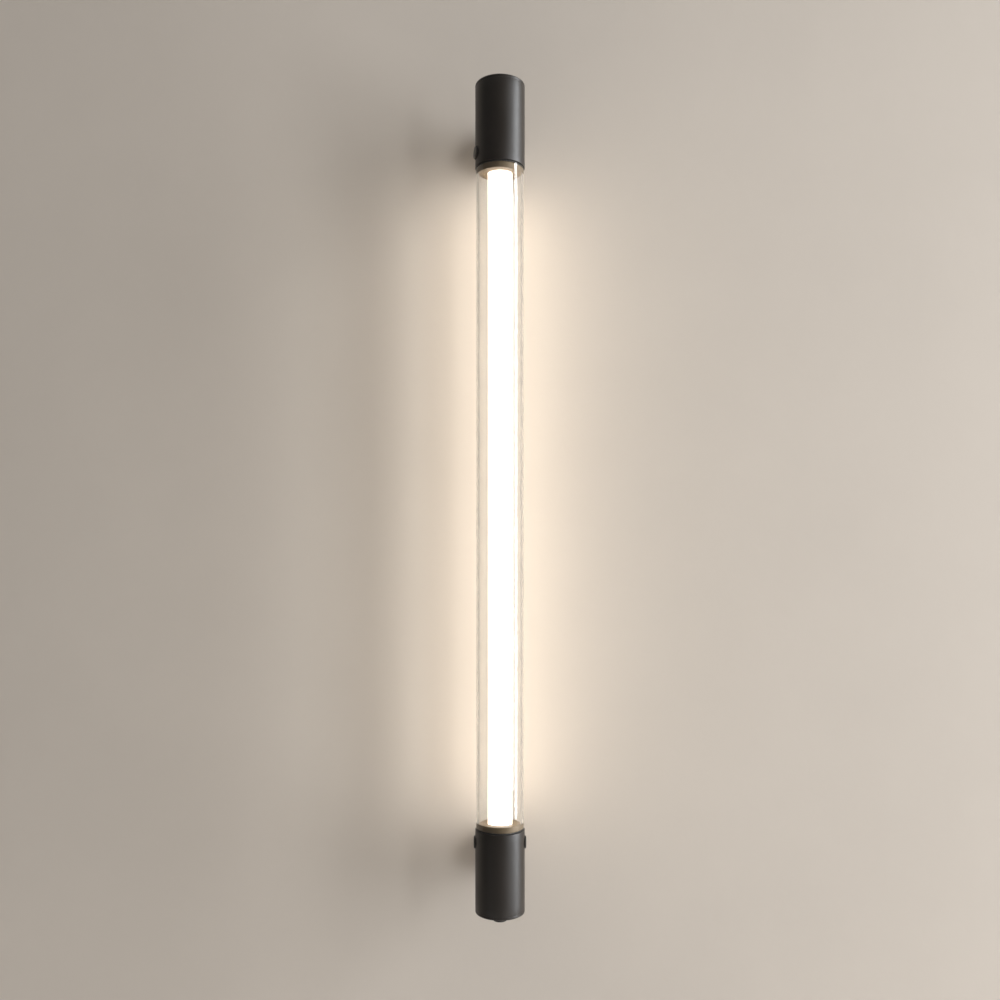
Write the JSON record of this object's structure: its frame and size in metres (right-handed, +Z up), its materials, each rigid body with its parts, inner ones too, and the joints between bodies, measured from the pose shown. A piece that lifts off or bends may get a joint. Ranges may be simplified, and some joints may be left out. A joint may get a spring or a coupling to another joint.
{
  "type": "tube wall light",
  "caption": "Upright tube wall light: opal light tube inside clear glass, held by two metal end caps on short wall arms, with thumb screws and a push button.",
  "frame": {"origin": "on the wall plane, midway between the four wall screw holes", "axes": "+Z up along the tube; +Y into the wall, so the light faces -Y; +X to the right seen from the front"},
  "size_m": [0.0534, 0.095, 0.8424],
  "materials": {
    "cap_metal": "satin dark bronze coating",
    "screw_metal": "satin dark bronze coating",
    "washer_plastic": "black nylon",
    "collar_metal": "dark bronze, bare turned face",
    "gasket_rubber": "matt black silicone",
    "clear_glass": "clear",
    "opal_plastic": "opal white, lit from inside",
    "plug_plastic": "white moulded",
    "bar_aluminium": "mill finish extrusion",
    "board_white": "white solder mask",
    "led_phosphor": "yellow phosphor",
    "zinc_steel": "bright zinc plate",
    "driver_case": "white moulded case",
    "terminal_plastic": "moulded nylon",
    "lead_sheath": "soft sheath"
  },
  "bodies": {
    "fixture": {"bottom_arm": "cap_metal", "bottom_cap_shell": "cap_metal", "bottom_collar": "collar_metal", "bottom_diffuser_plug": "plug_plastic", "bottom_end_disc": "cap_metal", "bottom_gasket": "gasket_rubber", "bottom_pipe_nuts": "zinc_steel", "bottom_saddle_washer": "zinc_steel", "bottom_stay_pipe": "zinc_steel", "bottom_wall_bracket": "zinc_steel", "bottom_wall_rose": "cap_metal", "button_spring": "zinc_steel", "diffuser_tube": "opal_plastic", "driver_bracket": "zinc_steel", "driver_screws": "zinc_steel", "glass_tube": "clear_glass", "led_bar": "bar_aluminium", "led_board_front": "board_white", "led_board_rear": "board_white", "led_driver": "driver_case", "led_feed_lead": "lead_sheath", "led_packages_front": "led_phosphor", "led_packages_rear": "led_phosphor", "rose_screws": "zinc_steel", "switch_body": "terminal_plastic", "switch_nut": "zinc_steel", "terminal_block": "terminal_plastic", "through_lead": "lead_sheath", "top_arm": "cap_metal", "top_cap_shell": "cap_metal", "top_collar": "collar_metal", "top_diffuser_plug": "plug_plastic", "top_end_disc": "cap_metal", "top_gasket": "gasket_rubber", "top_pipe_nuts": "zinc_steel", "top_saddle_washer": "zinc_steel", "top_stay_pipe": "zinc_steel", "top_wall_bracket": "zinc_steel", "top_wall_rose": "cap_metal"},
    "top_left_screw_washer": {"top_left_thumb_washer": "washer_plastic"},
    "top_left_screw": {"top_left_thumb_screw": "screw_metal"},
    "bottom_left_screw_washer": {"bottom_left_thumb_washer": "washer_plastic"},
    "bottom_left_screw": {"bottom_left_thumb_screw": "screw_metal"},
    "bottom_right_screw_washer": {"bottom_right_thumb_washer": "washer_plastic"},
    "bottom_right_screw": {"bottom_right_thumb_screw": "screw_metal"},
    "button": {"push_button": "cap_metal"}
  },
  "joints": [
    {"name": "top_left_screw_draw", "type": "slide", "parent": "fixture", "child": "top_left_screw_washer", "axis": [-0.9659, -0.2588, 0], "range_m": [0, 0.0021]},
    {"name": "top_left_screw_turn", "type": "hinge", "parent": "top_left_screw_washer", "child": "top_left_screw", "pos_m": [-0.02357, -0.07631, 0.3466], "axis": [-0.9659, -0.2588, 0], "range_deg": [0, 1080]},
    {"name": "bottom_left_screw_draw", "type": "slide", "parent": "fixture", "child": "bottom_left_screw_washer", "axis": [-1, 0, 0], "range_m": [0, 0.0021]},
    {"name": "bottom_left_screw_turn", "type": "hinge", "parent": "bottom_left_screw_washer", "child": "bottom_left_screw", "pos_m": [-0.0244, -0.07, -0.3466], "axis": [-1, 0, 0], "range_deg": [0, 1080]},
    {"name": "bottom_right_screw_draw", "type": "slide", "parent": "fixture", "child": "bottom_right_screw_washer", "axis": [1, 0, 0], "range_m": [0, 0.0021]},
    {"name": "bottom_right_screw_turn", "type": "hinge", "parent": "bottom_right_screw_washer", "child": "bottom_right_screw", "pos_m": [0.0244, -0.07, -0.3466], "axis": [1, 0, 0], "range_deg": [0, 1080]},
    {"name": "button_press", "type": "slide", "parent": "fixture", "child": "button", "axis": [0, 0, 1], "range_m": [0, 0.0018], "stiffness_N_per_m": 600, "springref_m": -0.002, "deforming": ["button_spring"]}
  ],
  "couplings": [
    {"joint": "top_left_screw_turn", "follows": "top_left_screw_draw", "rad_per_m": 8976},
    {"joint": "bottom_left_screw_turn", "follows": "bottom_left_screw_draw", "rad_per_m": 8976},
    {"joint": "bottom_right_screw_turn", "follows": "bottom_right_screw_draw", "rad_per_m": 8976}
  ]
}
